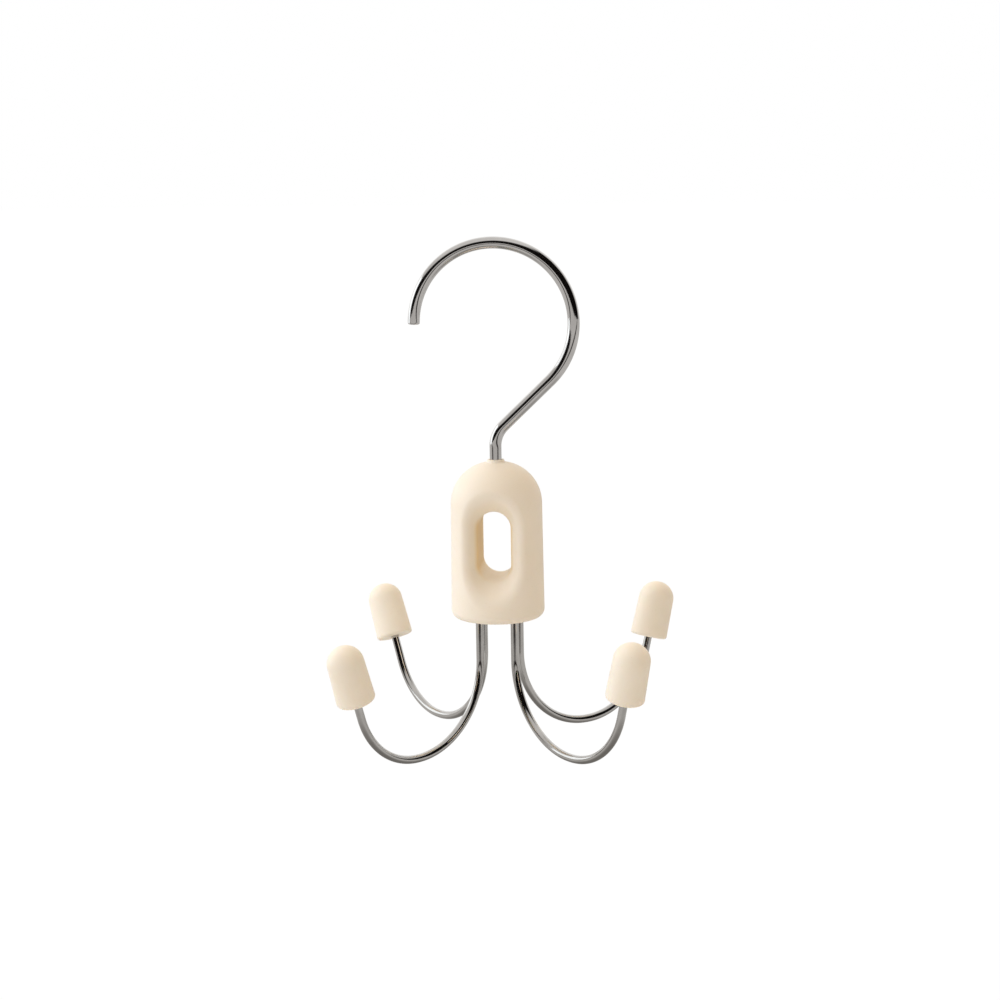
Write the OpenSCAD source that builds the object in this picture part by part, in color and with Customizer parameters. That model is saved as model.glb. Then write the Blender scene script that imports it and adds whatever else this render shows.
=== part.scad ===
// Tie hanger: a wire hook that turns in the top of a moulded body,
// with four J-shaped wire arms below it that end in soft caps.
// The origin is where the loop of the hook sits on a rail, on the turning axis.

/* [Hook wire] */
// Diameter of the hook wire
hook_wire_d = 3.8; // [3:0.1:5]
// Centre-line radius of the loop that goes over the rail
loop_radius = 25.5; // [18:0.1:40]
// Slant of the straight stretch below the loop, from upright
slant_angle = 46; // [35:0.5:60]
// Centre-line radius of the bend above the body
neck_bend_radius = 9.3; // [6:0.1:12]
// Straight wire between the top of the body and the neck bend
neck_length = 5; // [3:0.1:20]
// How far the loop runs on past the level of its centre
tip_angle = -1.5; // [-15:0.5:30]
// Straight wire at the cut end
tip_length = 0.5; // [0.5:0.1:10]
// Chamfer on the cut end of the wire
tip_chamfer = 0.4; // [0.1:0.1:0.8]
// Diameter of the upset head inside the body
hook_head_d = 7; // [6:0.1:7.6]
// Height of the upset head
hook_head_h = 2.2; // [1.5:0.1:3]

/* [Body] */
// Height of the body, underside to the top of the dome
body_h = 50.5; // [50:0.1:70]
// Diameter of the body at its underside
body_d = 30; // [29:0.1:36]
// How much the body's radius shrinks from the underside to the top
body_inset = 0.35; // [0:0.05:1.2]
// Radius of the dome in profile
dome_radius = 13.4; // [11:0.1:13.8]
// Radius of the rounded edge around the underside
base_fillet = 2.6; // [0.5:0.1:3]
// Wall of the two shells
shell_wall = 2; // [1.4:0.1:2.4]
// Rounded edge around the floor inside the shells
hollow_edge_r = 0.8; // [0.3:0.1:1.5]

/* [Slot] */
// Height of the slot's centre above the underside
slot_z = 24.4; // [23:0.1:24.6]
// Width of the straight throat of the slot
throat_w = 10.6; // [7:0.1:11.4]
// Height of the throat
throat_h = 22.3; // [14:0.1:23]
// Depth of the straight throat, front to rear
throat_depth = 16.4; // [14:0.1:20]
// Angle of the flared mouths, from the slot's own axis
flare_angle = 43; // [20:1:45]
// Radius of the rounded edge between throat and flare
throat_edge_r = 0.8; // [0.5:0.1:2]
// Wall around the slot
slot_wall = 1.8; // [1.2:0.1:2]

/* [Hook bearing] */
// Wall of the bush around the shank
bush_wall = 0.85; // [0.7:0.05:1.2]
// Length of the bush inside the body
bush_length = 8; // [6:0.1:8.5]
// How far the bush stands out of the dome as a collar
collar_rise = 0.5; // [0.2:0.1:1.5]
// Diameter of the bush's flange
bush_flange_d = 9.6; // [9:0.1:10.5]
// Thickness of the bush's flange
bush_flange_t = 1.2; // [0.8:0.1:1.5]
// Diameter of the thrust washer
washer_d = 9; // [8.2:0.1:9.4]
// Thickness of the thrust washer
washer_t = 0.8; // [0.5:0.1:1]
// Free height under the hook's head
head_room = 0.8; // [0.4:0.1:1]
// Wall of the bearing block around the flange
block_wall = 1.7; // [1.2:0.1:2]

/* [Arms] */
// Diameter of the arm wire
arm_wire_d = 2.6; // [2:0.1:3]
// Distance of each arm from the axis at the underside
arm_circle_r = 8.3; // [7.8:0.1:8.6]
// Direction of the rear right arm, anticlockwise from the body's right
rear_right_angle = 41.2; // [35:0.2:55]
// Direction of the rear left arm
rear_left_angle = 132.4; // [125:0.2:145]
// Direction of the front left arm
front_left_angle = 231; // [215:0.2:235]
// Direction of the front right arm
front_right_angle = 315.6; // [305:0.2:325]
// Straight drop below the underside
arm_drop = 13; // [5:0.1:30]
// Centre-line radius of the inner half of the J
arm_inner_radius = 27; // [15:0.1:35]
// Straight wire at the bottom of the J
arm_bottom_length = 0.5; // [0.5:0.1:10]
// Centre-line radius of the outer half of the J
arm_outer_radius = 24.6; // [12:0.1:30]
// Turn of the outer half of the rear right arm, from level to its straight end
rear_right_rise_angle = 74.6; // [50:0.2:80]
// Turn of the outer half of the rear left arm
rear_left_rise_angle = 65; // [50:0.2:80]
// Turn of the outer half of the front left arm
front_left_rise_angle = 72.8; // [50:0.2:80]
// Turn of the outer half of the front right arm
front_right_rise_angle = 75.2; // [50:0.2:80]
// Straight wire between the outer bend and the cap of the rear right arm
rear_right_end = 6.6; // [3:0.1:25]
// Straight wire before the cap of the rear left arm
rear_left_end = 8.7; // [3:0.1:25]
// Straight wire before the cap of the front left arm
front_left_end = 6.5; // [3:0.1:25]
// Straight wire before the cap of the front right arm
front_right_end = 5.9; // [3:0.1:25]
// Diameter of the upset head of each arm
arm_head_d = 4.4; // [3.6:0.1:4.8]
// Height of the upset head of each arm
arm_head_h = 1.5; // [1:0.1:2]

/* [End caps] */
// Length of a cap
cap_h = 18.8; // [17:0.1:26]
// Diameter of a cap near its open end
cap_d = 12.3; // [9:0.1:15]
// How much the cap's radius shrinks towards its dome
cap_inset = 0.35; // [0:0.05:0.8]
// Radius of the cap's dome in profile
cap_dome_r = 5.3; // [3.2:0.1:5.4]
// Rounded edge at the cap's open end
cap_edge_r = 0.7; // [0.3:0.1:1.5]
// Length of wire inside a cap
cap_grip = 14; // [6:0.5:14.5]

/* [Arm base] */
// Diameter of the base plug in the underside
base_d = 22; // [21.6:0.1:22.6]
// Thickness of the base plug
base_t = 5.5; // [5:0.1:5.8]
// How far the tongue around the plug reaches into the shells
tongue_w = 1.3; // [0.8:0.1:1.3]
// Thickness of the tongue
tongue_t = 1.6; // [1:0.1:1.8]
// Height of the tongue above the underside
tongue_z = 2.6; // [2:0.1:2.7]
// Width of the two lugs that stop the plug from turning
lug_w = 3; // [2:0.1:5]
// How far the lugs reach past the tongue
lug_reach = 0.8; // [0.4:0.1:0.8]
// Diameter of the keeper plate
keeper_d = 21; // [20.6:0.1:21]
// Thickness of the keeper plate
keeper_t = 1.2; // [0.8:0.1:1.2]

/* [Shell joint] */
// Distance of the locating pins from the axis
pin_x = 10; // [9.6:0.1:10.2]
// Height of the locating pins above and below the slot's centre
pin_dz = 12; // [11:0.1:12.5]
// Diameter of a locating pin
pin_d = 2; // [1.2:0.1:2.2]
// Length of a locating pin
pin_h = 2.4; // [1.5:0.1:4]
// Diameter of the boss around each pin and socket
pin_boss_d = 5; // [4:0.1:5]
// Thickness of the ribs that press on the keeper plate
rib_t = 2; // [1:0.1:2.5]
// Width of the ribs
rib_w = 9; // [6:0.5:10]
// Distance of the ribs from the parting plane
rib_y = 3; // [1:0.1:4]

/* [Clearances] */
// Clearance on each side of the shank in the bush
running_gap = 0.05; // [0.02:0.01:0.1]
// Clearance between the washer and the bush's flange
thrust_gap = 0.05; // [0.02:0.01:0.2]
// Clearance on each side of pieces that are fixed together
fit_gap = 0.05; // [0.02:0.01:0.1]
// Free depth past the end of a pin or a wire
end_gap = 0.3; // [0.1:0.1:0.5]

/* [Hidden] */

// Facets of round forms and of round wire
$fn = 96;
wire_fn = 40;

// Finishes as the eye sees them
ivory = "#f3e7d0";
ivory_cap = "#f2e3c6";
plated = "#b9b5ae";
washer_steel = "#9c9c9c";

// Overlaps that join touching forms of one piece, and the extra thickness of the wire's bends
weld = 0.01;
wire_overlap = 0.2;
bend_swell = 0.06;

// Hook wire: the straight slant is as long as puts the loop's centre on the axis
slant_length = (loop_radius * cos(slant_angle) - neck_bend_radius * (1 - cos(slant_angle))) / sin(slant_angle);
loop_sweep = 180 + slant_angle + tip_angle;
loop_z = body_h + neck_length + neck_bend_radius * sin(slant_angle)
    + slant_length * cos(slant_angle) + loop_radius * sin(slant_angle);
rail_seat_z = loop_z + loop_radius - (hook_wire_d + bend_swell) / 2;

// Bearing stack, from the top of the body downwards
bush_bore_d = hook_wire_d + 2 * running_gap;
bush_d = bush_bore_d + 2 * bush_wall;
bush_z = body_h - bush_length;
washer_z = bush_z - thrust_gap - washer_t;
hook_head_z = washer_z - hook_head_h;
pocket_z = hook_head_z - head_room;
pocket_d = washer_d + 2 * head_room;
block_d = max(bush_flange_d, pocket_d) + 2 * block_wall;

// Slot: a throat with round ends, flared to the front and the rear
throat_r = throat_w / 2;
slot_half_straight = (throat_h - throat_w) / 2;
slot_reach = body_d / 2 + slot_wall;

// Arm base stack, from the underside upwards
arm_head_z = base_t - arm_head_h;
keeper_z = base_t;
keeper_top = keeper_z + keeper_t;
floor_h = base_t + fit_gap;
arm_hole_d = arm_wire_d + 2 * fit_gap;

// The four arms were bent and set by hand, so they aren't quite a quarter turn apart or quite alike.
// Each is a direction, the turn of its outer half and the straight wire before its cap.
rear_right = [rear_right_angle, rear_right_rise_angle, rear_right_end];
rear_left = [rear_left_angle, rear_left_rise_angle, rear_left_end];
front_left = [front_left_angle, front_left_rise_angle, front_left_end];
front_right = [front_right_angle, front_right_rise_angle, front_right_end];

// Puts a piece drawn from the underside of the body at its place below the rail
module hung() {
    translate([0, 0, -rail_seat_z])
        children();
}

// Half outline of a bullet: straight tapered side, domed top, rounded lower edge
module bullet_outline(radius, inset, height, dome, edge) {
    top_r = radius - inset;
    intersection() {
        union() {
            polygon([[0, edge], [radius, edge], [top_r, height - dome], [0, height - dome]]);
            translate([top_r - dome, height - dome])
                circle(dome);
            square([top_r - dome, height]);
            translate([radius - edge, edge])
                circle(edge);
            square([radius - edge, edge + weld]);
        }
        square([radius, height]);
    }
}

// Wire that follows a list of steps, each a straight length, a bend radius and a bend angle.
// It starts upwards, and a positive angle bends it to the right. The straights run a little
// way into the bends, which are a hair thicker, so that the stretches join cleanly.
// What follows it is placed at its end.
module bent_wire(diameter, steps, step = 0) {
    if (step < len(steps)) {
        straight = steps[step][0];
        radius = steps[step][1];
        angle = steps[step][2];
        side = angle < 0 ? -1 : 1;
        turn = abs(angle);
        run_in = step > 0 ? wire_overlap : 0;
        run_out = turn > 0 ? wire_overlap : 0;
        translate([0, 0, -run_in])
            cylinder(d = diameter, h = straight + run_in + run_out, $fn = wire_fn);
        translate([0, 0, straight]) {
            if (turn > 0)
                rotate([0, 0, side < 0 ? 180 : 0])
                    translate([radius, 0, 0])
                        rotate([90, 0, 180])
                            rotate_extrude(angle = turn)
                                translate([radius, 0])
                                    circle(d = diameter + bend_swell, $fn = wire_fn);
            translate([side * radius * (1 - cos(turn)), 0, radius * sin(turn)])
                rotate([0, angle, 0])
                    bent_wire(diameter, steps, step + 1)
                        children();
        }
    } else {
        children();
    }
}

// Half outline of the slot across its axis: throat, rounded edge, straight flare.
// It is as wide as the throat plus extra, and grows along the slot's axis.
module slot_outline(extra) {
    flare = tan(flare_angle);
    edge = throat_edge_r;
    // Where the rounded edge starts on the throat and ends on the flare
    start_y = throat_depth / 2 - edge * tan(flare_angle / 2);
    end_y = start_y + edge * sin(flare_angle);
    end_r = throat_r + extra + edge * (1 - cos(flare_angle));
    for (end = [0, 1])
        mirror([0, end])
            difference() {
                polygon([[0, 0], [throat_r + extra, 0], [throat_r + extra, start_y], [end_r, start_y],
                    [end_r, end_y], [end_r + (slot_reach - end_y) * flare, slot_reach], [0, slot_reach]]);
                translate([throat_r + extra + edge, start_y])
                    circle(edge);
            }
}

// The slot's space along Y, widened by extra to give the wall around it
module slot_form(extra) {
    translate([0, 0, slot_z])
        rotate([90, 0, 0]) {
            for (end = [-1, 1])
                translate([0, end * slot_half_straight, 0])
                    rotate_extrude()
                        slot_outline(extra);
            for (side = [0, 1])
                mirror([side, 0, 0])
                    rotate([90, 0, 0])
                        linear_extrude(2 * slot_half_straight, center = true)
                            slot_outline(extra);
        }
}

// Space inside the shells, above the floor
module shell_hollow() {
    hollow_r = body_d / 2 - shell_wall;
    hollow_h = body_h - shell_wall - floor_h;
    translate([0, 0, floor_h])
        rotate_extrude()
            bullet_outline(hollow_r, body_inset, hollow_h, dome_radius - shell_wall, hollow_edge_r);
}

// Round space cut by a bore along the axis, from one height to another
module axis_bore(diameter, low, high) {
    translate([0, 0, low])
        cylinder(d = diameter, h = high - low);
}

// Seat of the hook's bearing: bush bore, flange recess and the pocket for washer and head
module bearing_space() {
    flange_top = bush_z + bush_flange_t;
    axis_bore(bush_d + 2 * fit_gap, flange_top - weld, body_h + weld);
    axis_bore(bush_flange_d + 2 * fit_gap, bush_z - fit_gap, flange_top);
    axis_bore(pocket_d, pocket_z, bush_z);
}

// Seat of the arm base: plug recess, tongue groove and lug notches
module base_space() {
    axis_bore(base_d + 2 * fit_gap, -weld, floor_h + weld);
    axis_bore(base_d + 2 * (tongue_w + fit_gap), tongue_z - fit_gap, tongue_z + tongue_t + fit_gap);
    lug_bar(fit_gap);
}

// Bar across the base whose ends are the two lugs, with clearance all round
module lug_bar(gap) {
    bar = base_d + 2 * (tongue_w + lug_reach + gap);
    translate([-bar / 2, -lug_w / 2 - gap, tongue_z - gap])
        cube([bar, lug_w + 2 * gap, tongue_t + 2 * gap]);
}

// Places its children at the locating pins, on the parting plane
module at_pins() {
    for (x = [-pin_x, pin_x], dz = [-pin_dz, pin_dz])
        translate([x, 0, slot_z + dz])
            children();
}

// Whole body with its hollows, before it is parted
module body_form() {
    difference() {
        union() {
            difference() {
                rotate_extrude()
                    bullet_outline(body_d / 2, body_inset, body_h, dome_radius, base_fillet);
                shell_hollow();
            }
            intersection() {
                rotate_extrude()
                    bullet_outline(body_d / 2 - weld, body_inset, body_h - weld, dome_radius, base_fillet);
                union() {
                    slot_form(slot_wall);
                    axis_bore(block_d, slot_z, body_h);
                    at_pins()
                        rotate([90, 0, 0])
                            cylinder(d = pin_boss_d, h = body_d, center = true);
                    for (y = [-rib_y - rib_t, rib_y])
                        translate([-rib_w / 2, y, keeper_top])
                            cube([rib_w, rib_t, slot_z - keeper_top]);
                }
            }
        }
        slot_form(0);
        bearing_space();
        base_space();
    }
}

// Everything on one side of the parting plane: side is -1 for the front, 1 for the rear
module half_space(side) {
    reach = 2 * body_h;
    translate([-reach / 2, side < 0 ? -reach : 0, -weld])
        cube([reach, reach, reach]);
}

// Front half of the body, with the locating pins
module front_shell() {
    color(ivory)
        hung() {
            intersection() {
                body_form();
                half_space(-1);
            }
            at_pins()
                rotate([-90, 0, 0])
                    translate([0, 0, -weld])
                        cylinder(d = pin_d, h = pin_h + weld);
        }
}

// Rear half of the body, with the sockets for the pins
module rear_shell() {
    color(ivory)
        hung()
            difference() {
                intersection() {
                    body_form();
                    half_space(1);
                }
                at_pins()
                    rotate([-90, 0, 0])
                        translate([0, 0, -weld])
                            cylinder(d = pin_d + 2 * fit_gap, h = pin_h + end_gap + weld);
            }
}

// Hook with its loop, neck, shank and upset head
module hook() {
    shank_length = body_h + neck_length - hook_head_z;
    color(plated)
        hung()
            translate([0, 0, hook_head_z]) {
                cylinder(d = hook_head_d, h = hook_head_h);
                bent_wire(hook_wire_d, [
                    [shank_length, neck_bend_radius, slant_angle],
                    [slant_length, loop_radius, -loop_sweep],
                    [tip_length, 0, 0]])
                    cylinder(d1 = hook_wire_d, d2 = hook_wire_d - 2 * tip_chamfer, h = tip_chamfer,
                        $fn = wire_fn);
            }
}

// Thrust washer that carries the body on the hook's head
module hook_washer() {
    color(washer_steel)
        hung()
            difference() {
                axis_bore(washer_d, washer_z, washer_z + washer_t);
                axis_bore(hook_wire_d + 2 * fit_gap, washer_z - weld, washer_z + washer_t + weld);
            }
}

// Flanged bush that the shank turns in, with its end showing as a collar
module hook_bush() {
    collar_top = body_h + collar_rise;
    round_r = min(bush_wall, collar_rise) * 0.8;
    color(ivory)
        hung()
            difference() {
                union() {
                    axis_bore(bush_flange_d, bush_z, bush_z + bush_flange_t);
                    axis_bore(bush_d, bush_z, collar_top - round_r);
                    axis_bore(bush_d - 2 * round_r, bush_z, collar_top);
                    translate([0, 0, collar_top - round_r])
                        rotate_extrude()
                            translate([bush_d / 2 - round_r, 0])
                                circle(round_r);
                }
                axis_bore(bush_bore_d, bush_z - weld, collar_top + weld);
            }
}

// Places its children where each arm passes through the base
module at_arms() {
    for (own = [rear_right, rear_left, front_left, front_right])
        rotate([0, 0, own[0]])
            translate([arm_circle_r, 0, 0])
                children();
}

// Plug in the underside that the arms pass through
module arm_base() {
    color(ivory)
        hung()
            difference() {
                union() {
                    axis_bore(base_d, 0, base_t);
                    axis_bore(base_d + 2 * tongue_w, tongue_z, tongue_z + tongue_t);
                    lug_bar(0);
                }
                at_arms() {
                    axis_bore(arm_hole_d, -weld, base_t + weld);
                    axis_bore(arm_head_d + 2 * fit_gap, arm_head_z, base_t + weld);
                }
            }
}

// Plate over the heads of the arms
module arm_keeper() {
    color(washer_steel)
        hung()
            axis_bore(keeper_d, keeper_z, keeper_top);
}

// One J-shaped arm with its upset head, bent to its own sizes
module arm(own) {
    color(plated)
        hung()
            rotate([0, 0, own[0]])
                translate([arm_circle_r, 0, base_t]) {
                    translate([0, 0, -arm_head_h])
                        cylinder(d = arm_head_d, h = arm_head_h);
                    rotate([180, 0, 0])
                        bent_wire(arm_wire_d, [
                            [base_t + arm_drop, arm_inner_radius, 90],
                            [arm_bottom_length, arm_outer_radius, own[1]],
                            [own[2] + cap_grip, 0, 0]]);
                }
}

// One end cap, drawn along the straight end of its arm
module cap(own) {
    end_r = arm_circle_r + arm_inner_radius + arm_bottom_length + arm_outer_radius * sin(own[1]);
    end_z = -arm_drop - arm_inner_radius + arm_outer_radius * (1 - cos(own[1]));
    color(ivory_cap)
        hung()
            rotate([0, 0, own[0]])
                translate([end_r, 0, end_z])
                    rotate([0, 90 - own[1], 0])
                        translate([0, 0, own[2]])
                            difference() {
                                rotate_extrude()
                                    bullet_outline(cap_d / 2, cap_inset, cap_h, cap_dome_r, cap_edge_r);
                                axis_bore(arm_wire_d + 2 * fit_gap, -weld, cap_grip + end_gap);
                            }
}

module arm_front_left() {
    arm(front_left);
}

module arm_front_right() {
    arm(front_right);
}

module arm_rear_left() {
    arm(rear_left);
}

module arm_rear_right() {
    arm(rear_right);
}

module cap_front_left() {
    cap(front_left);
}

module cap_front_right() {
    cap(front_right);
}

module cap_rear_left() {
    cap(rear_left);
}

module cap_rear_right() {
    cap(rear_right);
}

front_shell();
rear_shell();
hook();
hook_washer();
hook_bush();
arm_base();
arm_keeper();
arm_front_left();
arm_front_right();
arm_rear_left();
arm_rear_right();
cap_front_left();
cap_front_right();
cap_rear_left();
cap_rear_right();
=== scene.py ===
# A tie hanger: a plated wire hook that turns in a moulded ivory body, and four J-shaped
# wire arms below it that end in soft ivory caps. It hangs in the air by its hook.
import math

import bpy
import numpy as np
from mathutils import Matrix, Vector


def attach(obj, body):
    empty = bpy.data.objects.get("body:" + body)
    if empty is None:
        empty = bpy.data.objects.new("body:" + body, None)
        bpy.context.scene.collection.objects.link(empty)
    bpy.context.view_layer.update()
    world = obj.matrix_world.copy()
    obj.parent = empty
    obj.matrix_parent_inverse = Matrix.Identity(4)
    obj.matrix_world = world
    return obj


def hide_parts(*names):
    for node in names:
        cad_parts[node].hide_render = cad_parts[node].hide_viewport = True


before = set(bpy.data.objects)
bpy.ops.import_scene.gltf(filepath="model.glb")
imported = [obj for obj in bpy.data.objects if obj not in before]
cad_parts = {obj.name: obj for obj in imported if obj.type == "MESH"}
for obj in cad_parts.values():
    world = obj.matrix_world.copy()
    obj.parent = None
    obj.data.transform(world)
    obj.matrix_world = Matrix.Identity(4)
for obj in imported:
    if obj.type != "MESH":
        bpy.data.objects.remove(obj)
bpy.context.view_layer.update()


# Body shells
# The body is two injection-moulded half shells of ivory polypropylene, welded on the plane
# through the slot. The slot goes right through, with a straight throat and dished mouths.
mm = 0.001
underside_z = -118.467
body_radius = 15.0
body_top_radius = 14.65
body_height = 50.5
dome_radius = 13.4
base_round = 2.6
shell_wall = 1.9
slot_height = 24.4
throat_half_width = 5.3
throat_half_height = 11.15
throat_half_depth = 8.2
mouth_flare = math.radians(43)
throat_round = 0.8
rim_round = 2.3
parting_gap = 0.05
bush_bore_radius = 2.85
flange_bore_radius = 4.85
washer_pocket_radius = 5.3
bearing_block_radius = 6.6
plug_bore_radius = 11.05
plug_groove_radius = 12.35
plug_groove_bottom = 2.55
plug_groove_top = 4.25
plug_bore_top = 7.2
floor_height = 5.55
floor_thickness = 1.2
washer_pocket_bottom = 38.65
flange_bottom = 42.5
flange_top = 43.7
bore_top = 52
net_cell = 0.42
net_margin = 0.9


def rounded_corner(first, second, radius):
    """Distance to where two solids overlap, with the corner between them rounded."""
    corner = np.hypot(np.maximum(first + radius, 0), np.maximum(second + radius, 0))
    return np.minimum(np.maximum(first, second), -radius) + corner


def bullet_distance(x, y, z):
    """Distance to the body's outside, without the slot; negative inside."""
    out = np.hypot(x, y)
    side_height = body_height - dome_radius
    taper = (body_radius - body_top_radius) / (side_height - base_round)
    side = out - body_radius + taper * np.clip(z - base_round, 0, side_height - base_round)
    dome = np.hypot(np.maximum(out - body_top_radius + dome_radius, 0), z - side_height) - dome_radius
    base = np.hypot(np.maximum(out - body_radius + base_round, 0), base_round - z) - base_round
    return np.where(z > side_height, dome, np.where(z < base_round, base, side))


def slot_wall_distance(x, y, z):
    """Distance to the slot's wall; negative in the plastic around the slot."""
    straight = throat_half_height - throat_half_width
    out = np.hypot(x, np.maximum(np.abs(z - slot_height) - straight, 0))
    throat = throat_half_width - out
    past_throat = np.abs(y) - throat_half_depth
    mouth = past_throat * math.sin(mouth_flare) + throat * math.cos(mouth_flare)
    return rounded_corner(throat, mouth, throat_round)


def skin_distance(x, y, z):
    """Distance to the body's whole outside, slot and its rounded rims included."""
    return rounded_corner(bullet_distance(x, y, z), slot_wall_distance(x, y, z), rim_round)


def shell_distance(x, y, z):
    """Distance to the shells' plastic, with the hollow, the bearing block and the floor."""
    skin = skin_distance(x, y, z)
    block = np.maximum(np.hypot(x, y) - bearing_block_radius, slot_height - z)
    hollow = np.maximum(np.maximum(skin + shell_wall, floor_height + floor_thickness - z), -block)
    return np.maximum(skin, -hollow)


def slope(distance, points):
    """Direction in which a distance grows, at each point."""
    step = 0.002
    columns = []
    for axis in range(3):
        ahead = points.copy()
        behind = points.copy()
        ahead[:, axis] += step
        behind[:, axis] -= step
        columns.append(distance(*ahead.T) - distance(*behind.T))
    return np.stack(columns, 1) / (2 * step)


def settle(distance, points, rounds):
    """Moves points onto the surface where the distance is zero."""
    longest_move = 0.4
    least_square = 0.05
    for _ in range(rounds):
        rise = slope(distance, points)
        square = np.maximum((rise * rise).sum(1), least_square)
        gap = np.clip(distance(*points.T), -longest_move, longest_move)
        points = points - rise * (gap / square)[:, None]
    return points


def moulded_surface(distance, low, high, cell):
    """Closed net of four-sided faces over the surface where the distance is zero."""
    evening_rounds = 4
    evening_share = 0.6
    axes = [np.arange(a, b + cell, cell) for a, b in zip(low, high)]
    grid = np.stack(np.meshgrid(*axes, indexing="ij"), -1)
    value = distance(grid[..., 0], grid[..., 1], grid[..., 2])
    inside = value < 0
    cells = tuple(n - 1 for n in inside.shape)
    total = np.zeros(cells + (3,))
    count = np.zeros(cells)
    for axis in range(3):
        others = [a for a in range(3) if a != axis]
        for shift_a in (0, 1):
            for shift_b in (0, 1):
                start = [slice(0, n) for n in cells]
                start[others[0]] = slice(shift_a, cells[others[0]] + shift_a)
                start[others[1]] = slice(shift_b, cells[others[1]] + shift_b)
                end = list(start)
                end[axis] = slice(1, cells[axis] + 1)
                va = value[tuple(start)]
                vb = value[tuple(end)]
                crossed = (va < 0) != (vb < 0)
                part = np.where(crossed, va / np.where(crossed, va - vb, 1), 0)
                point = grid[tuple(start)] + part[..., None] * (grid[tuple(end)] - grid[tuple(start)])
                total += np.where(crossed[..., None], point, 0)
                count += crossed
    used = count > 0
    number = np.full(cells, -1)
    number[used] = np.arange(used.sum())
    points = total[used] / count[used][:, None]
    faces = []
    for axis in range(3):
        b, c = (axis + 1) % 3, (axis + 2) % 3
        body = [slice(0, n) for n in inside.shape]
        body[axis] = slice(0, cells[axis])
        body[b] = slice(1, cells[b])
        body[c] = slice(1, cells[c])
        ahead = list(body)
        ahead[axis] = slice(1, cells[axis] + 1)
        here = inside[tuple(body)]
        there = inside[tuple(ahead)]
        where = np.argwhere(here != there)
        leaving = here[tuple(where.T)]
        ring = []
        for db, dc in ((0, 0), (1, 0), (1, 1), (0, 1)):
            place = where.copy()
            place[:, b] += db
            place[:, c] += dc
            ring.append(number[tuple(place.T)])
        quad = np.stack(ring, 1)
        quad[~leaving] = quad[~leaving][:, ::-1]
        faces.append(quad)
    faces = np.concatenate(faces)
    points = settle(distance, points, 2)
    for _ in range(evening_rounds):
        middle = np.zeros_like(points)
        share = np.zeros(len(points))
        for a, b in ((0, 1), (1, 2), (2, 3), (3, 0)):
            np.add.at(middle, faces[:, a], points[faces[:, b]])
            np.add.at(middle, faces[:, b], points[faces[:, a]])
            np.add.at(share, faces[:, a], 1)
            np.add.at(share, faces[:, b], 1)
        evened = (1 - evening_share) * points + evening_share * middle / share[:, None]
        points = settle(distance, evened, 2)
    return points, faces


def plain_mesh(name, points, faces):
    """Mesh in metres, from points in millimetres above the body's underside."""
    mesh = bpy.data.meshes.new(name)
    placed = (np.asarray(points, float) + (0, 0, underside_z)) * mm
    mesh.from_pydata(placed.tolist(), [], [list(map(int, f)) for f in faces])
    mesh.update()
    return mesh


def turned_mesh(name, outline, sides=96):
    """Closed solid turned about the body's axis from (radius, height) points, anticlockwise."""
    rows = []
    points = []
    on_axis = 1e-6
    for radius, height in outline:
        if radius < on_axis:
            rows.append([len(points)] * sides)
            points.append((0, 0, height))
        else:
            rows.append(list(range(len(points), len(points) + sides)))
            for i in range(sides):
                angle = 2 * math.pi * i / sides
                points.append((radius * math.cos(angle), radius * math.sin(angle), height))
    faces = []
    closed = outline[0][0] > on_axis
    next_rows = rows[1:] + rows[:1] if closed else rows[1:]
    for low, high in zip(rows, next_rows):
        for i in range(sides):
            j = (i + 1) % sides
            ring = [low[i], low[j], high[j], high[i]]
            faces.append(list(dict.fromkeys(ring)))
    return plain_mesh(name, points, faces)


def scene_object(name, mesh):
    """Object at the origin that holds a mesh."""
    piece = bpy.data.objects.new(name, mesh)
    bpy.context.scene.collection.objects.link(piece)
    return piece


def cut(piece, tool_mesh, keep="DIFFERENCE"):
    """Cuts a closed form out of a piece, or keeps only what lies inside it."""
    tool = scene_object("cutter", tool_mesh)
    boolean = piece.modifiers.new("Cut", "BOOLEAN")
    boolean.operation = keep
    boolean.solver = "EXACT"
    boolean.object = tool
    bpy.context.view_layer.update()
    evaluated = piece.evaluated_get(bpy.context.evaluated_depsgraph_get())
    result = bpy.data.meshes.new_from_object(evaluated)
    piece.modifiers.remove(boolean)
    piece.data = result
    bpy.data.objects.remove(tool)


def box_mesh(name, low, high):
    """Box from its two corners, in millimetres above the underside."""
    points = []
    for x in (low[0], high[0]):
        for y in (low[1], high[1]):
            points += [(x, y, low[2]), (x, y, high[2])]
    faces = [(0, 1, 3, 2), (4, 6, 7, 5), (0, 4, 5, 1), (2, 3, 7, 6), (0, 2, 6, 4), (1, 5, 7, 3)]
    return plain_mesh(name, points, faces)


def moulded_normals(mesh, distance):
    """Gives the moulded faces the smooth surface's own normals, and leaves the cut faces flat."""
    least_agreement = 0.75
    count = len(mesh.vertices)
    points = np.zeros(count * 3)
    mesh.vertices.foreach_get("co", points)
    points = points.reshape(-1, 3) / mm - (0, 0, underside_z)
    smooth = slope(distance, points)
    smooth /= np.maximum(np.linalg.norm(smooth, axis=1), 1e-9)[:, None]
    loop_vertex = np.zeros(len(mesh.loops), int)
    mesh.loops.foreach_get("vertex_index", loop_vertex)
    face_normal = np.zeros(len(mesh.polygons) * 3)
    mesh.polygons.foreach_get("normal", face_normal)
    sizes = np.zeros(len(mesh.polygons), int)
    mesh.polygons.foreach_get("loop_total", sizes)
    flat = np.repeat(face_normal.reshape(-1, 3), sizes, axis=0)
    normal = smooth[loop_vertex]
    agree = (normal * flat).sum(1) > least_agreement
    normal = np.where(agree[:, None], normal, flat)
    mesh.polygons.foreach_set("use_smooth", [True] * len(mesh.polygons))
    mesh.normals_split_custom_set(normal.tolist())
    mesh.update()


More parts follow.
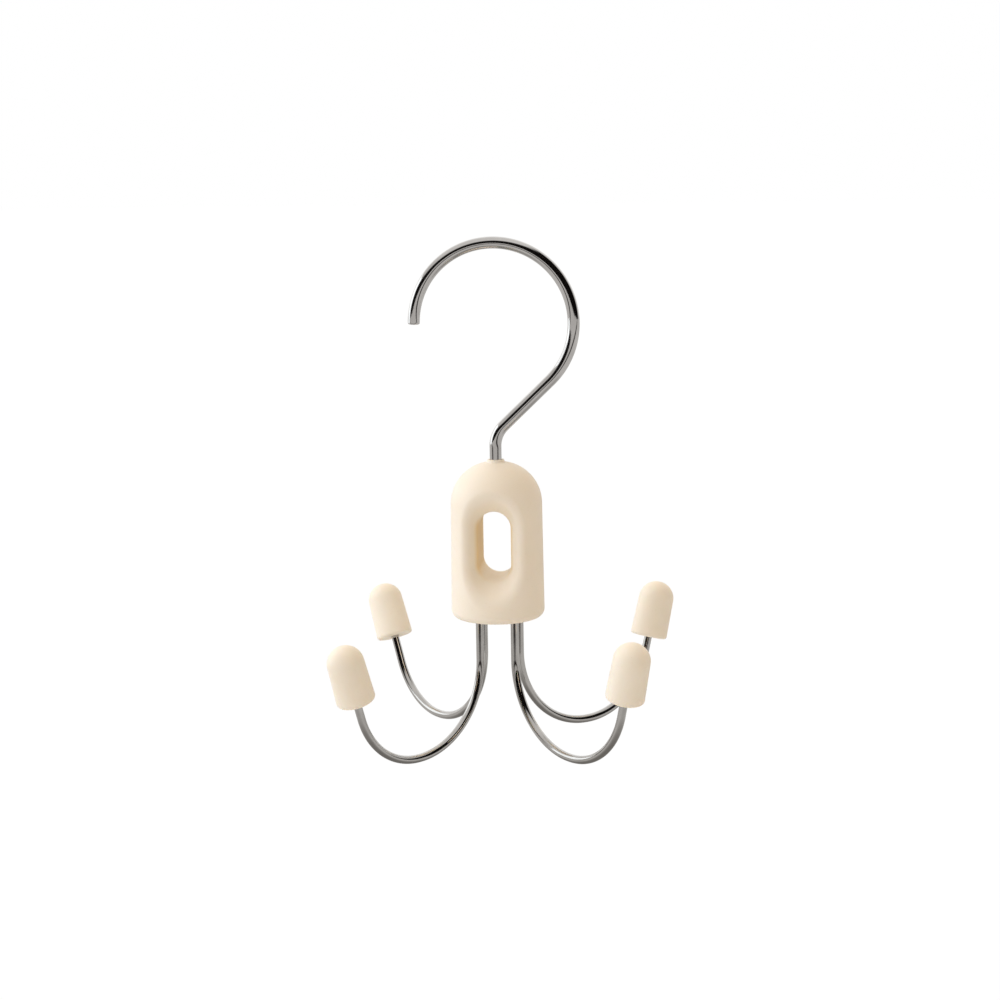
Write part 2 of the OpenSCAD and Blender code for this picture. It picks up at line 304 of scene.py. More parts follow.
class Finish:
    """A procedural material that is put together node by node."""

    def __init__(self, name):
        self.material = bpy.data.materials.new(name)
        self.material.use_nodes = True
        self.nodes = self.material.node_tree.nodes
        self.links = self.material.node_tree.links
        self.shader = self.nodes["Principled BSDF"]

    def add(self, kind, **settings):
        """A new node of a kind."""
        node = self.nodes.new("ShaderNode" + kind)
        for key, value in settings.items():
            setattr(node, key, value)
        return node

    def join(self, source, target):
        """A link between two sockets."""
        self.links.new(source, target)

    def calc(self, operation, first, second=0.0):
        """One step of arithmetic on numbers or sockets."""
        node = self.add("Math", operation=operation)
        for socket, value in zip(node.inputs, (first, second)):
            if hasattr(value, "is_linked"):
                self.join(value, socket)
            else:
                socket.default_value = value
        return node.outputs[0]

    def noise(self, place, scale, detail, roughness):
        """Soft random values over a place."""
        node = self.add("TexNoise")
        node.inputs["Scale"].default_value = scale
        node.inputs["Detail"].default_value = detail
        node.inputs["Roughness"].default_value = roughness
        self.join(place, node.inputs["Vector"])
        return node.outputs["Fac"]

    def spread(self, value, low, high, start, stop):
        """A value stretched so that start becomes low and stop becomes high."""
        node = self.add("MapRange")
        node.inputs["From Min"].default_value = start
        node.inputs["From Max"].default_value = stop
        node.inputs["To Min"].default_value = low
        node.inputs["To Max"].default_value = high
        self.join(value, node.inputs["Value"])
        return node.outputs["Result"]

    def blend(self, value, first, second):
        """A colour between two, by a value from 0 to 1."""
        node = self.add("Mix", data_type="RGBA")
        for socket, colour in ((node.inputs[6], first), (node.inputs[7], second)):
            if hasattr(colour, "is_linked"):
                self.join(colour, socket)
            else:
                socket.default_value = (*colour, 1)
        self.join(value, node.inputs[0])
        return node.outputs[2]

    def relief(self, height, distance, strength, below=None):
        """Fine bumps from a height, over other bumps if given."""
        node = self.add("Bump")
        node.inputs["Strength"].default_value = strength
        node.inputs["Distance"].default_value = distance
        self.join(height, node.inputs["Height"])
        if below is not None:
            self.join(below, node.inputs["Normal"])
        return node.outputs["Normal"]


ivory_deep = (0.925, 0.85, 0.72)
ivory_light = (0.95, 0.88, 0.76)
ivory_speck = (0.88, 0.80, 0.66)
# Painted light: a warmer orange in the slot's throat stands in for light bounced between the throat's walls.
painted_throat_light = (0.90, 0.72, 0.41)
painted_light_half_width = (6.2, 7.0)
painted_light_half_depth = (7.6, 9.4)
painted_light_bottom = (underside_z + 14.5, underside_z + 17.5)
painted_light_top = (underside_z + 31, underside_z + 34.5)
ivory_plastic = Finish("ivory_plastic")
place = ivory_plastic.add("TexCoord").outputs["Object"]
flow = ivory_plastic.noise(place, 55, 3.0, 0.55)
specks = ivory_plastic.noise(place, 1300, 2.0, 0.6)
tone = ivory_plastic.blend(ivory_plastic.spread(flow, 0, 1, 0.3, 0.7), ivory_deep, ivory_light)
speckled = ivory_plastic.blend(ivory_plastic.spread(specks, 0, 1, 0.62, 0.8), tone, ivory_speck)
spot = ivory_plastic.add("SeparateXYZ")
ivory_plastic.join(place, spot.inputs[0])
aside = ivory_plastic.calc("ABSOLUTE", spot.outputs["X"])
inward = ivory_plastic.calc("ABSOLUTE", spot.outputs["Y"])
height = spot.outputs["Z"]
# Mask of the painted throat light, by place: within the throat's width, depth and height.
painted_light_share = 1.0
for value, low, high, (start, stop) in ((aside, 1, 0, painted_light_half_width), (inward, 1, 0, painted_light_half_depth),
                                        (height, 0, 1, painted_light_bottom), (height, 1, 0, painted_light_top)):
    share = ivory_plastic.spread(value, low, high, start * mm, stop * mm)
    painted_light_share = ivory_plastic.calc("MULTIPLY", painted_light_share, share)
with_painted_throat_light = ivory_plastic.blend(painted_light_share, speckled, painted_throat_light)
ivory_plastic.join(with_painted_throat_light, ivory_plastic.shader.inputs["Base Color"])
polish = ivory_plastic.noise(place, 240, 3.0, 0.6)
sheen = ivory_plastic.spread(polish, 0.40, 0.50, 0.3, 0.7)
ivory_plastic.join(sheen, ivory_plastic.shader.inputs["Roughness"])
ripple = ivory_plastic.relief(flow, 0.00012, 0.35)
grain = ivory_plastic.noise(place, 2600, 3.0, 0.6)
ivory_plastic.join(ivory_plastic.relief(grain, 0.00002, 0.35, ripple), ivory_plastic.shader.inputs["Normal"])
ivory_plastic.shader.inputs["IOR"].default_value = 1.49
ivory_plastic.shader.inputs["Subsurface Weight"].default_value = 0.12
ivory_plastic.shader.inputs["Subsurface Radius"].default_value = (1.0, 0.7, 0.35)
ivory_plastic.shader.inputs["Subsurface Scale"].default_value = 0.0015

side = body_radius + net_margin
points, faces = moulded_surface(shell_distance, (-side, -side, -net_margin),
                                (side, side, body_height + net_margin), net_cell)
whole_body = scene_object("whole_body", plain_mesh("whole_body", points, faces))
cut(whole_body, turned_mesh("bearing_bore", [
    (0, washer_pocket_bottom), (washer_pocket_radius, washer_pocket_bottom),
    (washer_pocket_radius, flange_bottom), (flange_bore_radius, flange_bottom),
    (flange_bore_radius, flange_top), (bush_bore_radius, flange_top),
    (bush_bore_radius, bore_top), (0, bore_top)]))
cut(whole_body, turned_mesh("plug_bore", [
    (0, -1), (plug_bore_radius, -1),
    (plug_bore_radius, plug_groove_bottom), (plug_groove_radius, plug_groove_bottom),
    (plug_groove_radius, plug_groove_top), (plug_bore_radius, plug_groove_top),
    (plug_bore_radius, plug_bore_top), (0, plug_bore_top)]))
for shell, low_y, high_y in (("front_shell", -20, -parting_gap / 2), ("rear_shell", parting_gap / 2, 20)):
    skin = scene_object(shell + "_moulding", whole_body.data.copy())
    cut(skin, box_mesh("half", (-20, low_y, -5), (20, high_y, 60)), "INTERSECT")
    moulded_normals(skin.data, skin_distance)
    skin.data.materials.clear()
    skin.data.materials.append(ivory_plastic.material)
    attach(skin, "hanger")
    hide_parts(shell)
bpy.data.objects.remove(whole_body)


# Base plug
# A round plug of the same plastic closes the underside. The four arms pass through its
# holes, and its tongue and two lugs sit in the groove between the shells.
plug_radius = 11.0
plug_height = 5.5
plug_edge = 0.5
tongue_radius = plug_radius + 1.3
tongue_bottom = 2.6
tongue_top = 4.2
arm_circle = 8.3
arm_turns = {"front_left": 231.0, "front_right": 315.6, "rear_left": 132.4, "rear_right": 41.2}
arm_hole_radius = 1.35
hole_mouth_height = 0.35
head_pocket_radius = 2.25
head_pocket_bottom = 4.0
plug_outline = [(0, 0)]
for step in range(7):
    angle = math.radians(-90 + 15 * step)
    out = plug_radius - plug_edge + plug_edge * math.cos(angle)
    plug_outline.append((out, plug_edge + plug_edge * math.sin(angle)))
plug_outline += [(plug_radius, tongue_bottom), (tongue_radius, tongue_bottom), (tongue_radius, tongue_top),
                 (plug_radius, tongue_top), (plug_radius, plug_height), (0, plug_height)]
base_plug = scene_object("arm_base_plug", turned_mesh("arm_base_plug", plug_outline))
for turn in arm_turns.values():
    hole = turned_mesh("arm_hole", [
        (0, -1), (2 * arm_hole_radius, -1), (arm_hole_radius, hole_mouth_height),
        (arm_hole_radius, head_pocket_bottom), (head_pocket_radius, head_pocket_bottom),
        (head_pocket_radius, plug_height + 0.5), (0, plug_height + 0.5)], 48)
    hole.transform(Matrix.Rotation(math.radians(turn), 4, "Z") @ Matrix.Translation((arm_circle * mm, 0, 0)))
    cut(base_plug, hole)


def smooth_by_angle(mesh, degrees):
    """Smooth faces, with edges sharper than an angle kept crisp."""
    mesh.polygons.foreach_set("use_smooth", [True] * len(mesh.polygons))
    mesh.set_sharp_from_angle(angle=math.radians(degrees))
    mesh.update()


smooth_by_angle(base_plug.data, 32)
base_plug.data.materials.clear()
base_plug.data.materials.append(ivory_plastic.material)
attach(base_plug, "hanger")
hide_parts("arm_base")


# Bush
# A flanged bush of the same plastic lines the hole in the dome. Its upper end stands out
# as a small collar with a soft fillet onto the dome, and the hook turns inside it.
bush_bore = 1.95
sleeve_radius = 2.8
flange_radius = 4.8
sleeve_top = 50.1
fillet_radius = 0.9
fillet_centre = (3.65, 51.14)
lip_radius = 0.34
lip_centre = (2.42, 51.0)
bush_outline = [(bush_bore, flange_bottom), (flange_radius, flange_bottom), (flange_radius, flange_top),
                (sleeve_radius, flange_top), (sleeve_radius, sleeve_top), (3.6, 50.2)]
for step in range(8):
    angle = math.radians(270 - 11 * step)
    bush_outline.append((fillet_centre[0] + fillet_radius * math.cos(angle),
                         fillet_centre[1] + fillet_radius * math.sin(angle)))
for step in range(7):
    angle = math.radians(15 + 12.5 * step)
    bush_outline.append((lip_centre[0] + lip_radius * math.cos(angle),
                         lip_centre[1] + lip_radius * math.sin(angle)))
bush_outline += [(2.1, 51.32), (1.99, 51.25), (bush_bore, 51.1)]
bush = scene_object("hook_bush_collar", turned_mesh("hook_bush_collar", bush_outline))
smooth_by_angle(bush.data, 40)
bush.data.materials.append(ivory_plastic.material)
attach(bush, "hanger")
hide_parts("hook_bush")


# Hook
# Drawn steel wire, polished and nickel plated, bent to a neck, a slanted straight and an open
# loop. Its lower end is upset to a head that hangs in the body, and its tip is cut and rounded.
def wire_tree(name):
    """Node tree that sweeps a round wire along two bends: straight, bend, straight, bend, straight."""
    tree = bpy.data.node_groups.new(name, "GeometryNodeTree")
    tree.interface.new_socket("Wire", in_out="OUTPUT", socket_type="NodeSocketGeometry")
    for label, kind in (("Wire diameter", "Float"), ("Lead-in", "Float"), ("First bend radius", "Float"),
                        ("First bend angle", "Float"), ("Middle straight", "Float"),
                        ("Second bend radius", "Float"), ("Second bend angle", "Float"), ("Run-out", "Float"),
                        ("End rounding", "Float"), ("Head diameter", "Float"), ("Head height", "Float"),
                        ("Start", "Vector"), ("Flip", "Float"), ("Turn", "Float"), ("Rings", "Int"),
                        ("End rings", "Int"), ("Sides", "Int"), ("Finish", "Material")):
        tree.interface.new_socket(label, in_out="INPUT", socket_type="NodeSocket" + kind)
    given = tree.nodes.new("NodeGroupInput").outputs
    result = tree.nodes.new("NodeGroupOutput")

    def put(socket, value):
        if hasattr(value, "is_linked"):
            tree.links.new(value, socket)
        else:
            socket.default_value = value

    def calc(operation, first, second=0.0):
        node = tree.nodes.new("ShaderNodeMath")
        node.operation = operation
        put(node.inputs[0], first)
        put(node.inputs[1], second)
        return node.outputs[0]

    def spread(value, start, stop, low, high):
        node = tree.nodes.new("ShaderNodeMapRange")
        for socket, item in zip(node.inputs[:5], (value, start, stop, low, high)):
            put(socket, item)
        return node.outputs[0]

    first_length = calc("MULTIPLY", given["First bend radius"], calc("ABSOLUTE", given["First bend angle"]))
    second_angle = calc("ABSOLUTE", given["Second bend angle"])
    second_length = calc("MULTIPLY", given["Second bend radius"], second_angle)
    first_end = calc("ADD", given["Lead-in"], first_length)
    second_start = calc("ADD", first_end, given["Middle straight"])
    second_end = calc("ADD", second_start, second_length)
    total = calc("ADD", second_end, given["Run-out"])
    index = tree.nodes.new("GeometryNodeInputIndex").outputs[0]
    plain_total = calc("SUBTRACT", total, given["End rounding"])
    last_plain = calc("SUBTRACT", given["Rings"], given["End rings"])

    def end_angle(ring):
        return spread(ring, last_plain, given["Rings"], 0.0, math.pi / 2)

    def length_at(ring):
        plain = spread(ring, 0.0, last_plain, 0.0, plain_total)
        return calc("ADD", plain, calc("MULTIPLY", given["End rounding"], calc("SINE", end_angle(ring))))

    here = length_at(index)
    before = length_at(calc("MAXIMUM", calc("SUBTRACT", index, 1.0), 0.0))
    halfway = calc("MULTIPLY", calc("ADD", here, before), 0.5)
    heading = calc("ADD", spread(halfway, given["Lead-in"], first_end, 0.0, given["First bend angle"]),
                   spread(halfway, second_start, second_end, 0.0, given["Second bend angle"]))
    step = calc("SUBTRACT", here, before)
    move = tree.nodes.new("ShaderNodeCombineXYZ")
    put(move.inputs["X"], calc("MULTIPLY", step, calc("SINE", heading)))
    put(move.inputs["Z"], calc("MULTIPLY", step, calc("COSINE", heading)))
    walk = tree.nodes.new("GeometryNodeAccumulateField")
    walk.data_type = "FLOAT_VECTOR"
    put(walk.inputs["Value"], move.outputs[0])
    line = tree.nodes.new("GeometryNodeCurvePrimitiveLine")
    cut_up = tree.nodes.new("GeometryNodeResampleCurve")
    put(cut_up.inputs["Count"], calc("ADD", given["Rings"], 1.0))
    put(cut_up.inputs["Curve"], line.outputs[0])
    bend = tree.nodes.new("GeometryNodeSetPosition")
    put(bend.inputs["Geometry"], cut_up.outputs[0])
    put(bend.inputs["Position"], walk.outputs["Leading"])
    along = tree.nodes.new("GeometryNodeStoreNamedAttribute")
    along.inputs["Name"].default_value = "along"
    put(along.inputs["Geometry"], bend.outputs[0])
    put(along.inputs["Value"], here)
    ring = tree.nodes.new("GeometryNodeCurvePrimitiveCircle")
    put(ring.inputs["Resolution"], given["Sides"])
    put(ring.inputs["Radius"], calc("MULTIPLY", given["Wire diameter"], 0.5))
    across = tree.nodes.new("GeometryNodeStoreNamedAttribute")
    across.data_type = "FLOAT_VECTOR"
    across.inputs["Name"].default_value = "across"
    put(across.inputs["Geometry"], ring.outputs[0])
    put(across.inputs["Value"], tree.nodes.new("GeometryNodeInputPosition").outputs[0])
    sweep = tree.nodes.new("GeometryNodeCurveToMesh")
    put(sweep.inputs["Curve"], along.outputs[0])
    put(sweep.inputs["Profile Curve"], across.outputs[0])
    shrink = calc("MULTIPLY", given["End rounding"], calc("SUBTRACT", 1.0, calc("COSINE", end_angle(index))))
    shrink = calc("DIVIDE", shrink, calc("MULTIPLY", given["Wire diameter"], 0.5))
    put(sweep.inputs["Scale"], calc("SUBTRACT", 1.0, shrink))
    sweep.inputs["Fill Caps"].default_value = True
    head = tree.nodes.new("GeometryNodeMeshCylinder")
    head.inputs["Vertices"].default_value = 48
    put(head.inputs["Radius"], calc("MULTIPLY", given["Head diameter"], 0.5))
    put(head.inputs["Depth"], given["Head height"])
    lift = tree.nodes.new("ShaderNodeCombineXYZ")
    put(lift.inputs["Z"], calc("MULTIPLY", given["Head height"], 0.5))
    raise_head = tree.nodes.new("GeometryNodeTransform")
    put(raise_head.inputs["Geometry"], head.outputs["Mesh"])
    put(raise_head.inputs["Translation"], lift.outputs[0])
    whole = tree.nodes.new("GeometryNodeJoinGeometry")
    put(whole.inputs[0], raise_head.outputs[0])
    put(whole.inputs[0], sweep.outputs[0])
    flip = tree.nodes.new("ShaderNodeCombineXYZ")
    put(flip.inputs["X"], given["Flip"])
    set_up = tree.nodes.new("GeometryNodeTransform")
    put(set_up.inputs["Geometry"], whole.outputs[0])
    put(set_up.inputs["Rotation"], flip.outputs[0])
    put(set_up.inputs["Translation"], given["Start"])
    turn = tree.nodes.new("ShaderNodeCombineXYZ")
    put(turn.inputs["Z"], given["Turn"])
    turned = tree.nodes.new("GeometryNodeTransform")
    put(turned.inputs["Geometry"], set_up.outputs[0])
    put(turned.inputs["Rotation"], turn.outputs[0])
    real = tree.nodes.new("GeometryNodeRealizeInstances")
    put(real.inputs["Geometry"], turned.outputs[0])
    finish = tree.nodes.new("GeometryNodeSetMaterial")
    put(finish.inputs["Geometry"], real.outputs[0])
    put(finish.inputs["Material"], given["Finish"])
    put(result.inputs[0], finish.outputs[0])
    return tree


def grown(name, tree, values, start=None):
    """Runs a node tree with its inputs set, and keeps the result as a plain mesh."""
    piece = scene_object(name, start or bpy.data.meshes.new(name))
    modifier = piece.modifiers.new("Nodes", "NODES")
    modifier.node_group = tree
    for item in tree.interface.items_tree:
        if item.in_out == "INPUT" and item.name in values:
            modifier[item.identifier] = values[item.name]
    bpy.context.view_layer.update()
    evaluated = piece.evaluated_get(bpy.context.evaluated_depsgraph_get())
    result = bpy.data.meshes.new_from_object(evaluated)
    piece.modifiers.remove(modifier)
    result.name = name
    piece.data = result
    return piece


def drawn_wire_finish(name, light, dark):
    """Bright plating over drawn wire: faint lines along the wire and slight clouding."""
    finish = Finish(name)
    lengthways = finish.add("Attribute", attribute_name="along").outputs["Fac"]
    sideways = finish.add("Attribute", attribute_name="across").outputs["Vector"]
    split = finish.add("SeparateXYZ")
    finish.join(sideways, split.inputs[0])
    stretched = finish.add("CombineXYZ")
    finish.join(split.outputs["X"], stretched.inputs["X"])
    finish.join(split.outputs["Y"], stretched.inputs["Y"])
    finish.join(finish.calc("MULTIPLY", lengthways, 0.02), stretched.inputs["Z"])
    lines = finish.noise(stretched.outputs[0], 5200, 3.0, 0.65)
    place = finish.add("TexCoord").outputs["Object"]
    cloud = finish.noise(place, 160, 4.0, 0.6)
    tone = finish.blend(finish.spread(cloud, 0, 1, 0.35, 0.65), dark, light)
    finish.join(tone, finish.shader.inputs["Base Color"])
    clouded = finish.spread(cloud, 0.05, 0.09, 0.3, 0.7)
    rough = finish.calc("ADD", clouded, finish.spread(lines, 0.0, 0.06, 0.45, 0.8))
    finish.join(rough, finish.shader.inputs["Roughness"])
    finish.shader.inputs["Metallic"].default_value = 1.0
    wave = finish.relief(cloud, 0.00008, 0.10)
    finish.join(finish.relief(lines, 0.000006, 0.2, wave), finish.shader.inputs["Normal"])
    return finish.material


hook_wire = 3.8
hook_head_diameter = 7.0
hook_head_height = 2.2
hook_head_bottom = 39.45
neck_start = 55.5
neck_bend_radius = 9.3
slant = math.radians(46)
loop_radius = 25.5
loop_angle = math.radians(224.5)
tip_length = 0.9
tip_rounding = 0.45
slant_length = (loop_radius * math.cos(slant) - neck_bend_radius * (1 - math.cos(slant))) / math.sin(slant)
plated_wire = drawn_wire_finish("plated_wire", (0.73, 0.71, 0.69), (0.65, 0.63, 0.61))
bent_wire = wire_tree("Bent wire")
hook = grown("hook_wire", bent_wire, {
    "Wire diameter": hook_wire * mm, "Lead-in": (neck_start - hook_head_bottom) * mm,
    "First bend radius": neck_bend_radius * mm, "First bend angle": slant,
    "Middle straight": slant_length * mm, "Second bend radius": loop_radius * mm,
    "Second bend angle": -loop_angle, "Run-out": tip_length * mm, "End rounding": tip_rounding * mm,
    "Head diameter": hook_head_diameter * mm, "Head height": hook_head_height * mm,
    "Start": (0, 0, (hook_head_bottom + underside_z) * mm), "Flip": 0.0, "Turn": 0.0,
    "Rings": 420, "End rings": 7, "Sides": 48, "Finish": plated_wire})
smooth_by_angle(hook.data, 35)
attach(hook, "hook")
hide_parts("hook")


# Arms
# Four lengths of thinner plated wire, each bent to a J with a rising end. An upset head
# holds each one in the base plug, and a cap is pushed onto its other end.
arm_wire = 2.6
arm_head_diameter = 4.4
arm_head_height = 1.5
arm_drop = 13.0
inner_bend_radius = 27.0
arm_flat = 0.5
outer_bend_radius = 24.6
arm_rises = {"front_left": 72.8, "front_right": 75.2, "rear_left": 65.0, "rear_right": 74.6}
arm_ends = {"front_left": 6.5, "front_right": 5.9, "rear_left": 8.7, "rear_right": 6.6}
cap_grip = 14.0
arm_end_rounding = 0.3
# Painted shade: the arms' plating is a darker copy of the hook's plating, standing in for the dimmer light
# and reflections the arms get below the body.
shaded_arm_plating = drawn_wire_finish("plated_arm_wire_shaded", (0.63, 0.61, 0.585), (0.54, 0.52, 0.495))
for name, turn in arm_turns.items():
    arm = grown("arm_" + name + "_wire", bent_wire, {
        "Wire diameter": arm_wire * mm, "Lead-in": (plug_height + arm_drop) * mm,
        "First bend radius": inner_bend_radius * mm, "First bend angle": math.radians(90),
        "Middle straight": arm_flat * mm, "Second bend radius": outer_bend_radius * mm,
        "Second bend angle": math.radians(arm_rises[name]), "Run-out": (arm_ends[name] + cap_grip) * mm,
        "End rounding": arm_end_rounding * mm, "Head diameter": arm_head_diameter * mm,
        "Head height": arm_head_height * mm, "Start": (arm_circle * mm, 0, (plug_height + underside_z) * mm),
        "Flip": math.pi, "Turn": math.radians(turn), "Rings": 300, "End rings": 4, "Sides": 32,
        "Finish": shaded_arm_plating})
    smooth_by_angle(arm.data, 35)
    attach(arm, "hanger")
    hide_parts("arm_" + name)


# End caps
# Soft vinyl caps pushed onto the wire ends so that ties don't slip off. Each is a slightly
# tapered bullet with a rounded open edge, and has a blind bore that grips the wire.
cap_length = 18.8
cap_radius = 6.15
cap_top_radius = 5.8
cap_dome = 5.3
cap_edge = 0.8
cap_bore_radius = 1.35
cap_bore_depth = 14.3
mouth_radius = 1.75
mouth_rounding = 0.4
mouth_height = 0.45
cap_outline = [(0, cap_bore_depth), (cap_bore_radius, cap_bore_depth), (cap_bore_radius, mouth_height)]
for step in range(5):
    angle = math.radians(180 + 22.5 * step)
    cap_outline.append((mouth_radius + mouth_rounding * math.cos(angle),
                        mouth_height + mouth_rounding * math.sin(angle)))
for step in range(1, 4):
    part = step / 4
    sunk = mouth_height - mouth_rounding
    cap_outline.append((mouth_radius + (cap_radius - cap_edge - mouth_radius) * part, sunk * (1 - part)))
for step in range(9):
    angle = math.radians(-90 + 11.25 * step)
    cap_outline.append((cap_radius - cap_edge + cap_edge * math.cos(angle),
                        cap_edge + cap_edge * math.sin(angle)))
for step in range(1, 12):
    part = step / 12
    cap_outline.append((cap_radius + (cap_top_radius - cap_radius) * part,
                        cap_edge + (cap_length - cap_dome - cap_edge) * part))
for step in range(18):
    angle = math.radians(5 * step)
    cap_outline.append(((cap_top_radius - cap_dome) * (1 - step / 18) + cap_dome * math.cos(angle),
                        cap_length - cap_dome + cap_dome * math.sin(angle)))
cap_outline.append((0, cap_length))

cap_seat = bpy.data.node_groups.new("Cap on its arm", "GeometryNodeTree")
cap_seat.interface.new_socket("Cap", in_out="OUTPUT", socket_type="NodeSocketGeometry")
cap_seat.interface.new_socket("Cap form", in_out="INPUT", socket_type="NodeSocketGeometry")
for label, kind in (("Tilt", "Rotation"), ("Wire end", "Vector"),
                    ("Turn", "Rotation"), ("Finish", "Material")):
    cap_seat.interface.new_socket(label, in_out="INPUT", socket_type="NodeSocket" + kind)
seat_in = cap_seat.nodes.new("NodeGroupInput").outputs
tilt = cap_seat.nodes.new("GeometryNodeTransform")
swing = cap_seat.nodes.new("GeometryNodeTransform")
real = cap_seat.nodes.new("GeometryNodeRealizeInstances")
dress = cap_seat.nodes.new("GeometryNodeSetMaterial")
seat_out = cap_seat.nodes.new("NodeGroupOutput")
for source, target in (
        (seat_in["Cap form"], tilt.inputs["Geometry"]), (seat_in["Tilt"], tilt.inputs["Rotation"]),
        (seat_in["Wire end"], tilt.inputs["Translation"]), (tilt.outputs[0], swing.inputs["Geometry"]),
        (seat_in["Turn"], swing.inputs["Rotation"]), (swing.outputs[0], real.inputs["Geometry"]),
        (real.outputs[0], dress.inputs["Geometry"]), (seat_in["Finish"], dress.inputs["Material"]),
        (dress.outputs[0], seat_out.inputs[0])):
    cap_seat.links.new(source, target)

vinyl_deep = (0.93, 0.86, 0.73)
vinyl_light = (0.955, 0.89, 0.77)
vinyl_speck = (0.89, 0.81, 0.67)
cap_vinyl = Finish("cap_vinyl")
place = cap_vinyl.add("TexCoord").outputs["Object"]
flow = cap_vinyl.noise(place, 120, 3.0, 0.55)
specks = cap_vinyl.noise(place, 1500, 2.0, 0.6)
tone = cap_vinyl.blend(cap_vinyl.spread(flow, 0, 1, 0.3, 0.7), vinyl_deep, vinyl_light)
speckled = cap_vinyl.blend(cap_vinyl.spread(specks, 0, 1, 0.62, 0.8), tone, vinyl_speck)
cap_vinyl.join(speckled, cap_vinyl.shader.inputs["Base Color"])
polish = cap_vinyl.noise(place, 300, 3.0, 0.6)
cap_vinyl.join(cap_vinyl.spread(polish, 0.42, 0.52, 0.3, 0.7), cap_vinyl.shader.inputs["Roughness"])
ripple = cap_vinyl.relief(flow, 0.0001, 0.4)
grain = cap_vinyl.noise(place, 3000, 3.0, 0.6)
cap_vinyl.join(cap_vinyl.relief(grain, 0.00002, 0.4, ripple), cap_vinyl.shader.inputs["Normal"])
cap_vinyl.shader.inputs["IOR"].default_value = 1.5
cap_vinyl.shader.inputs["Subsurface Weight"].default_value = 0.15
cap_vinyl.shader.inputs["Subsurface Radius"].default_value = (1.0, 0.7, 0.35)
cap_vinyl.shader.inputs["Subsurface Scale"].default_value = 0.0015

for name, turn in arm_turns.items():
    rise = math.radians(arm_rises[name])
    out = arm_circle + inner_bend_radius + arm_flat
    out += outer_bend_radius * math.sin(rise) + arm_ends[name] * math.cos(rise)
    up = underside_z - arm_drop - inner_bend_radius
    up += outer_bend_radius * (1 - math.cos(rise)) + arm_ends[name] * math.sin(rise)
    form = turned_mesh("cap_form", cap_outline, 72)
    form.transform(Matrix.Translation((0, 0, -underside_z * mm)))
    cap = grown("cap_" + name + "_vinyl", cap_seat, {
        "Tilt": (0.0, math.pi / 2 - rise, 0.0), "Wire end": (out * mm, 0, up * mm),
        "Turn": (0.0, 0.0, math.radians(turn)), "Finish": cap_vinyl.material}, form)
    smooth_by_angle(cap.data, 40)
    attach(cap, "hanger")
    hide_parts("cap_" + name)


# Washer and keeper plate
# Two stamped steel pieces inside the body: a thrust washer on the hook's head, and the disc
# that keeps the arms' heads down. Both are dull zinc plate with turning marks.
zinc_dark = (0.42, 0.43, 0.44)
zinc_light = (0.62, 0.62, 0.60)
washer_steel = Finish("washer_steel")
place = washer_steel.add("TexCoord").outputs["Object"]
rings = washer_steel.add("TexWave", wave_type="RINGS", rings_direction="Z", wave_profile="SIN")
rings.inputs["Scale"].default_value = 900
rings.inputs["Distortion"].default_value = 1.5
washer_steel.join(place, rings.inputs["Vector"])
mottle = washer_steel.noise(place, 700, 4.0, 0.6)
tone = washer_steel.blend(mottle, zinc_dark, zinc_light)
washer_steel.join(tone, washer_steel.shader.inputs["Base Color"])
dullness = washer_steel.spread(mottle, 0.28, 0.45, 0.3, 0.7)
washer_steel.join(dullness, washer_steel.shader.inputs["Roughness"])
turning_marks = washer_steel.relief(rings.outputs["Fac"], 0.00001, 0.5)
washer_steel.join(turning_marks, washer_steel.shader.inputs["Normal"])
washer_steel.shader.inputs["Metallic"].default_value = 1.0
for name in ("hook_washer", "arm_keeper"):
    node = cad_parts[name]
    for slot in node.material_slots:
        slot.material = washer_steel.material
    if not node.material_slots:
        node.data.materials.append(washer_steel.material)


# Floor, light and camera
# A plain pale floor lies well below the hanging piece, under a white surround. One large soft lamp stands at
# the upper left, and the wires mirror a dim room in front of the piece, which the world and the floor show to
# reflections only. The floor's part of it is painted reflection: a painted shadow under the piece, a painted
# dark band in front and grey beyond.
floor_z = -0.30
floor_reach = 6
floor_corners = [(-floor_reach, -floor_reach, floor_z), (floor_reach, -floor_reach, floor_z),
                 (floor_reach, floor_reach, floor_z), (-floor_reach, floor_reach, floor_z)]
floor = scene_object("floor", bpy.data.meshes.new("floor"))
floor.data.from_pydata(floor_corners, [], [(0, 1, 2, 3)])
# Painted reflections: glossy rays see the floor glow as a painted shadow around the piece, a painted dark
# band in front of it and grey further out, while camera rays see it evenly white.
painted_dark_band = (0.02, 0.016, 0.015)
painted_shadow_under_piece = (0.24, 0.23, 0.22)
painted_near_reflection = (0.60, 0.59, 0.58)
painted_far_reflection = (0.56, 0.55, 0.54)
seen_share = 0.95
pale = Finish("pale_floor")
pale.shader.inputs["Base Color"].default_value = (0.86, 0.86, 0.86, 1)
pale.shader.inputs["Roughness"].default_value = 0.9
ray = pale.add("LightPath")
place = pale.add("TexCoord").outputs["Object"]
reach = pale.add("VectorMath", operation="LENGTH")
pale.join(place, reach.inputs[0])
spot = pale.add("SeparateXYZ")
pale.join(place, spot.inputs[0])
ahead = spot.outputs["Y"]
painted_reflection = pale.blend(pale.spread(reach.outputs["Value"], 0, 1, 0.31, 0.42), painted_shadow_under_piece, painted_near_reflection)
painted_reflection = pale.blend(pale.spread(ahead, 0, 1, -0.75, -0.55), painted_dark_band, painted_reflection)
painted_reflection = pale.blend(pale.spread(ahead, 1, 0, -1.25, -1.00), painted_reflection, painted_far_reflection)
shown_floor = pale.blend(ray.outputs["Is Glossy Ray"], (1.02, 1.02, 1.02), painted_reflection)
seen = pale.calc("MAXIMUM", ray.outputs["Is Camera Ray"], ray.outputs["Is Transmission Ray"])
share = pale.calc("MAXIMUM", pale.calc("MULTIPLY", seen, seen_share), ray.outputs["Is Glossy Ray"])
